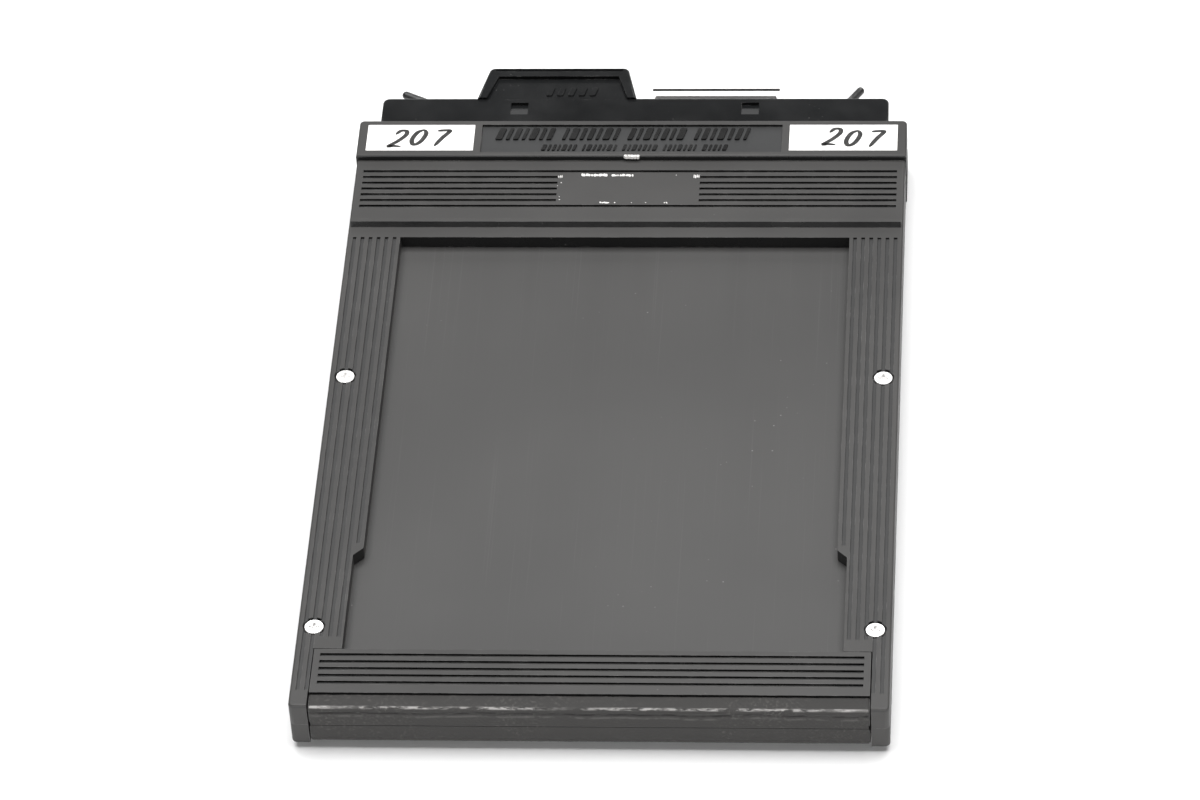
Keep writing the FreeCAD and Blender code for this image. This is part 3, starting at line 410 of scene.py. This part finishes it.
def new_piece(name, bm, side, slot, body, material=None):
    """Links a mesh drawn in half-holder millimetres as a piece that rides on a body."""
    mesh = bpy.data.meshes.new(name)
    bmesh.ops.recalc_face_normals(bm, faces=bm.faces)
    bm.to_mesh(mesh)
    bm.free()
    mesh.transform(to_side(side) @ Matrix.Translation((0, BODY_TOP, 0)) @ Matrix.Scale(MM, 4))
    mesh.materials.append(MATERIALS[material or slot])
    item = bpy.data.objects.new(name, mesh)
    bpy.context.scene.collection.objects.link(item)
    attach(item, body)
    return item


def raised(bm, outline, low, high, draft):
    """A closed boss over a convex outline, from one height to another, drawn in by the draft."""
    centre = sum((Vector(point) for point in outline), Vector((0, 0))) / len(outline)
    rings = []
    for height, inset in ((low, 0.0), (high - draft * 0.6, draft * 0.4), (high, draft)):
        ring = []
        for point in outline:
            away = Vector(point) - centre
            place = Vector(point) - away.normalized() * inset
            ring.append(bm.verts.new((place.x, place.y, height)))
        rings.append(ring)
    count = len(outline)
    for below, above in zip(rings, rings[1:]):
        for index in range(count):
            after = (index + 1) % count
            bm.faces.new((below[index], below[after], above[after], above[index]))
    bm.faces.new(rings[-1])
    bm.faces.new(reversed(rings[0]))


def slanted(x, y, width, height, lean):
    """A slanted bar with its corners taken off: its outline about its middle."""
    nip = min(width, height) * 0.15
    half_w = width / 2
    half_h = height / 2
    corners = [
        (-half_w + nip, -half_h),
        (half_w - nip, -half_h),
        (half_w, -half_h + nip),
        (half_w, half_h - nip),
        (half_w - nip, half_h),
        (-half_w + nip, half_h),
        (-half_w, half_h - nip),
        (-half_w, -half_h + nip),
    ]
    return [(x + px + lean * py, y + py) for px, py in corners]


def crumb(x, y, width, height, draw):
    """A ragged blob's outline."""
    outline = []
    for index in range(11):
        angle = 2 * math.pi * index / 11
        reach = draw.uniform(0.62, 1.0)
        outline.append((x + width / 2 * reach * math.cos(angle), y + height / 2 * reach * math.sin(angle)))
    return outline


def smooth_path(points, steps):
    """Points along a Catmull-Rom curve through the given ones."""
    points = [Vector(point) for point in points]
    points = [points[0] * 2 - points[1]] + points + [points[-1] * 2 - points[-2]]
    path = []
    for before, start, end, after in zip(points, points[1:], points[2:], points[3:]):
        for step in range(steps):
            t = step / steps
            curve = (
                start * 2
                + (end - before) * t
                + (before * 2 - start * 5 + end * 4 - after) * t**2
                + (start * 3 - before - end * 3 + after) * t**3
            )
            path.append(curve / 2)
    return path + [points[-2]]


# ---------------------------------------------------------------- details


RIB_WIDTHS = (1.5, 0.8, 1.1, 0.7)
# The two rows: start, end, middle height, bar height, width scale, gap and relief.
PANEL_ROWS = (
    (-29.5, 29.0, -4.15, 3.7, 1.0, 0.8, 0.42),
    (-19.5, 21.5, -8.5, 1.9, 0.6, 0.5, 0.3),
)
BARS_IN_GROUP = 7


def name_panel_pattern(side):
    """A generic relief of slanted bars on the floor of the name panel: a tall row over a low one."""
    bm = bmesh.new()
    for x, end, middle, tall, scale, gap, relief in PANEL_ROWS:
        index = 0
        while x < end - RIB_WIDTHS[0] * scale:
            width = RIB_WIDTHS[index % len(RIB_WIDTHS)] * scale
            outline = slanted(x + width / 2, middle, width, tall, 0.26)
            raised(bm, outline, PANEL_FLOOR - SUNK, PANEL_FLOOR + relief, 0.09)
            x += width + (gap * 3 if index % BARS_IN_GROUP == BARS_IN_GROUP - 1 else gap)
            index += 1
    new_piece(f"{side}_panel_relief", bm, side, "black_plastic", "root", "polished_plastic")


def tab_pattern(side):
    """Five slanted grip ribs on the tab's plate."""
    bm = bmesh.new()
    for index in range(5):
        outline = slanted(-18.9 + 2.4 * index, 11.9, 1.3, 2.8, 0.25)
        raised(bm, outline, TAB_PLATE - SUNK, TAB_PLATE + 0.3, 0.12)
    new_piece(f"{side}_tab_ribs", bm, side, "handle_plastic", f"{side}_slide")


LABEL_MIDDLE = 46.4
WRITING_SLANT = 0.32
WRITING_FOOT = -8.6
NIB = 0.95
# Pen strokes of the digits, in a cell one unit high.
STROKES = {
    "2": [
        [(0.06, 0.74), (0.20, 0.95), (0.44, 0.93), (0.50, 0.70)]
        + [(0.30, 0.36), (0.02, 0.06), (0.24, 0.08), (0.55, 0.04)]
    ],
    "0": [[(0.34, 0.92), (0.10, 0.74), (0.04, 0.32), (0.22, 0.05), (0.44, 0.22), (0.50, 0.66), (0.34, 0.92)]],
    "7": [[(0.04, 0.90), (0.30, 0.93), (0.56, 0.90), (0.40, 0.52), (0.24, 0.02)]],
    "8": [
        [(0.50, 0.84), (0.30, 0.97), (0.12, 0.80), (0.26, 0.55), (0.46, 0.30), (0.36, 0.04), (0.10, 0.10)],
        [(0.10, 0.10), (0.06, 0.32), (0.28, 0.54), (0.48, 0.72), (0.50, 0.84)],
    ],
}


def pen_line(bm, points, nib, height):
    """A flat line of ink with round ends, wider on the downstrokes."""
    path = smooth_path(points, 7)
    left = []
    right = []
    for index, point in enumerate(path):
        before = path[max(index - 1, 0)]
        after = path[min(index + 1, len(path) - 1)]
        way = (after - before).normalized()
        side = Vector((-way.y, way.x))
        share = index / (len(path) - 1)
        taper = math.sqrt(max(1 - (2 * share - 1) ** 8, 0.12))
        width = nib * (0.78 + 0.35 * abs(way.y)) * taper / 2
        left.append(point + side * width)
        right.append(point - side * width)
    upper = [[bm.verts.new((p.x, p.y, height)) for p in line] for line in (left, right)]
    lower = [[bm.verts.new((p.x, p.y, height - 0.03)) for p in line] for line in (left, right)]
    for index in range(len(path) - 1):
        after = index + 1
        bm.faces.new((upper[0][index], upper[1][index], upper[1][after], upper[0][after]))
        bm.faces.new((lower[0][index], lower[0][after], lower[1][after], lower[1][index]))
        bm.faces.new((upper[0][index], upper[0][after], lower[0][after], lower[0][index]))
        bm.faces.new((upper[1][index], lower[1][index], lower[1][after], upper[1][after]))
    for index in (0, len(path) - 1):
        bm.faces.new((upper[0][index], lower[0][index], lower[1][index], upper[1][index]))


def handwritten(side, hand, sign, text):
    """A generic number written by hand on one label."""
    bm = bmesh.new()
    face = (LABEL_FACE - MID_PLANE) / MM
    height = 5.7
    x = sign * LABEL_MIDDLE - 5.6 + (1.0 if hand == "right" else -1.5)
    for index, digit in enumerate(text):
        shift = 0.35 * math.sin(2.1 * index + sign)
        for stroke in STROKES[digit]:
            points = []
            for px, py in stroke:
                along = x + (px + WRITING_SLANT * py) * height * 0.92
                points.append((along, WRITING_FOOT + shift + py * height))
            pen_line(bm, points, NIB, face + 0.012)
        x += 4.5
    new_piece(f"{side}_{hand}_number", bm, side, "label_white", "root", "ink")


def adhesive_crumbs(side, seed):
    """Dried adhesive left round the pad where a sticker was, and a chip on the band's edge."""
    draw = random.Random(seed)
    bm = bmesh.new()
    face = BODY_FACE
    pad_top, pad_low = PAD_DOWN
    streaks = [
        (-10.4, -4.6, pad_top, 1.25, 11),
        (-3.9, 0.9, pad_top + 0.1, 1.05, 11),
        (14.0, 15.3, pad_top + 0.4, 1.7, 5),
        (-6.0, -3.8, pad_low, 0.9, 5),
        (8.0, 8.9, pad_low, 0.7, 3),
        (-15.4, -14.6, pad_top + 0.5, 1.2, 4),
    ]
    for start, end, down, tall, count in streaks:
        for index in range(count):
            x = start + (end - start) * (index + 0.5) / count + draw.uniform(-0.15, 0.15)
            wide = (end - start) / count * draw.uniform(1.0, 1.7)
            outline = crumb(x, -down + draw.uniform(-0.1, 0.1), wide, tall * draw.uniform(0.6, 1.0), draw)
            raised(bm, outline, face - 0.02, face + draw.uniform(0.03, 0.09), 0.03)
    for index in range(9):
        x = draw.uniform(-PAD_HALF - 0.1, -PAD_HALF + 0.9) if index % 2 else draw.uniform(-13.0, 13.0)
        down = draw.uniform(pad_top, pad_low) if index % 2 else draw.choice((pad_top, pad_low))
        size = draw.uniform(0.15, 0.42)
        raised(bm, crumb(x, -down, size, size, draw), face - 0.02, face + 0.04, 0.02)
    for index in range(5):
        outline = crumb(-0.9 + 0.65 * index, -11.62, 1.1, 0.9, draw)
        raised(bm, outline, BAND_FACE - 0.7, BAND_FACE - 0.02, 0.05)
    new_piece(f"{side}_adhesive_crumbs", bm, side, "black_plastic", "root", "adhesive")


TAPE_THICK = 0.27
THREAD = 0.62


def fold_path():
    """The tape's outer surface across the fold: points (y, z) and their outward directions."""
    top = (TAPE_HIGH.z - MID_PLANE) / MM
    start = (TAPE_HIGH.y - BODY_TOP) / MM
    end = (TAPE_LOW.y - BODY_TOP) / MM
    radius = 1.1
    hinge_line = 0.06
    flat_steps, bend_steps, wall_steps = 19, 12, 26
    path = []
    for step in range(flat_steps):
        path.append((start + (end + radius - start) * step / flat_steps, top, 0.0, 1.0))
    for step in range(bend_steps + 1):
        angle = math.radians(90 * step / bend_steps)
        y = end + radius - radius * math.sin(angle)
        path.append((y, top - radius + radius * math.cos(angle), -math.sin(angle), math.cos(angle)))
    for step in range(1, wall_steps + 1):
        z = top - radius - (top - radius - hinge_line) * step / wall_steps
        path.append((end, z, -1.0, 0.0))
    return path


def cloth_tape(side):
    """The hinge tape as woven cloth: threads, slubs, a worn fold and uneven cut edges."""
    bm = bmesh.new()
    path = fold_path()
    half = (TAPE_HIGH.x - TAPE_LOW.x) / MM / 2
    columns = 740
    shift = 40.0 if side == "back" else 0.0
    outer = []
    inner = []
    run = 0.0
    fold_end = path[0][0] - path[-1][0] + 0.6
    before = path[0]
    for row, (y, z, out_y, out_z) in enumerate(path):
        run += math.hypot(y - before[0], z - before[1])
        before = (y, z)
        for column in range(columns + 1):
            x = -half + 2 * half * column / columns
            slub = noise.noise((x * 0.9 + shift, run * 0.9, 3.0))
            weave = math.sin(2 * math.pi * x / THREAD + slub) * math.sin(2 * math.pi * run / THREAD)
            lumps = noise.noise((x * 2.6 + shift, run * 2.6, 7.0))
            sink = 0.055 - 0.022 * weave - 0.028 * lumps
            crease = run - fold_end - 0.35 - 0.3 * noise.noise((x * 0.35 + shift, 4.4, 1.0))
            sink += 0.11 * math.exp(-((crease / 0.22) ** 2)) * (0.7 + noise.noise((x * 0.8, shift, 6.0)))
            wander = 0.16 * noise.noise((x * 0.5 + shift, 1.7, 5.0)) * max(0.0, 1 - row / 4)
            place = x
            if column in (0, columns):
                place -= math.copysign(0.12 * (0.5 + noise.noise((run * 0.8 + shift, 9.1, 2.0))), x)
            if row == 0 or column in (0, columns):
                sink += 0.05
            for layer, depth in ((outer, sink), (inner, TAPE_THICK)):
                layer.append(bm.verts.new((place, y - wander - out_y * depth, z - out_z * depth)))
    wide = columns + 1
    rows = len(path)
    for row in range(rows - 1):
        for column in range(columns):
            a = row * wide + column
            square = (a, a + 1, a + wide + 1, a + wide)
            bm.faces.new([outer[index] for index in square])
            bm.faces.new([inner[index] for index in reversed(square)])
    border = list(range(wide)) + [row * wide + columns for row in range(1, rows)]
    border += [(rows - 1) * wide + column for column in range(columns - 1, -1, -1)]
    border += [row * wide for row in range(rows - 2, 0, -1)]
    for index, start in enumerate(border):
        after = border[(index + 1) % len(border)]
        bm.faces.new((outer[start], inner[start], inner[after], outer[after]))
    piece = new_piece(f"{side}_tape_cloth", bm, side, "hinge_cloth", f"{side}_flap")
    for face in piece.data.polygons:
        face.use_smooth = True
    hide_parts(f"{side}_hinge_tape")


def add_details():
    for side in SIDES:
        name_panel_pattern(side)
        tab_pattern(side)
        cloth_tape(side)
        for hand, sign in HANDS:
            handwritten(side, hand, sign, "207" if side == "front" else "208")
    adhesive_crumbs("front", 5)
    adhesive_crumbs("back", 11)


# ---------------------------------------------------------------- scene


def make_table():
    size = 3.0
    mesh = bpy.data.meshes.new("table")
    corners = [(-size, -size, 0), (size, -size, 0), (size, size, 0), (-size, size, 0)]
    mesh.from_pydata(corners, [], [(0, 1, 2, 3)])
    mesh.materials.append(table_top("table_look"))
    table = bpy.data.objects.new("table", mesh)
    bpy.context.scene.collection.objects.link(table)


def area_light(name, place, target, size, power):
    light = bpy.data.lights.new(name, "AREA")
    light.shape = "RECTANGLE"
    light.size = size[0]
    light.size_y = size[1]
    light.energy = power
    item = bpy.data.objects.new(name, light)
    item.location = place
    item.rotation_euler = (Vector(target) - Vector(place)).to_track_quat("-Z", "Y").to_euler()
    bpy.context.scene.collection.objects.link(item)


def make_lights():
    world = bpy.data.worlds.new("studio")
    bpy.context.scene.world = world
    world.use_nodes = True
    sky = world.node_tree.nodes["Background"]
    sky.inputs["Color"].default_value = (1.0, 1.0, 1.0, 1.0)
    sky.inputs["Strength"].default_value = 0.10
    area_light("overhead", (0.0, 0.18, 1.1), (0, 0.18, 0), (1.3, 1.0), 26)
    area_light("back_wall", (0.0, 1.8, 0.6), (0, 0, 0), (3.0, 1.2), 10)
    area_light("front_fill", (0.1, -1.3, 0.3), (0, -0.1, 0), (2.4, 0.5), 14.5)
    bpy.context.scene.view_settings.view_transform = "Standard"


def make_camera():
    """A view down the holder's length from its flap end, through a long lens that it fills."""
    middle = Vector((-0.003, -0.003, MID_PLANE))
    turn = math.radians(6.0)
    rise = math.radians(44.0)
    distance = 1.25
    toward = Vector((math.cos(rise) * math.sin(turn), -math.cos(rise) * math.cos(turn), math.sin(rise)))
    lens = bpy.data.cameras.new("camera")
    lens.lens = 178
    lens.clip_end = 20
    camera = bpy.data.objects.new("camera", lens)
    bpy.context.scene.collection.objects.link(camera)
    camera.location = middle + toward * distance
    upright = (-toward).to_track_quat("-Z", "Y")
    roll = Matrix.Rotation(math.radians(-4.0), 4, "Z")
    camera.rotation_euler = (upright.to_matrix().to_4x4() @ roll).to_euler()
    bpy.context.scene.camera = camera


dress_nodes()
add_details()
make_table()
make_lights()
make_camera()
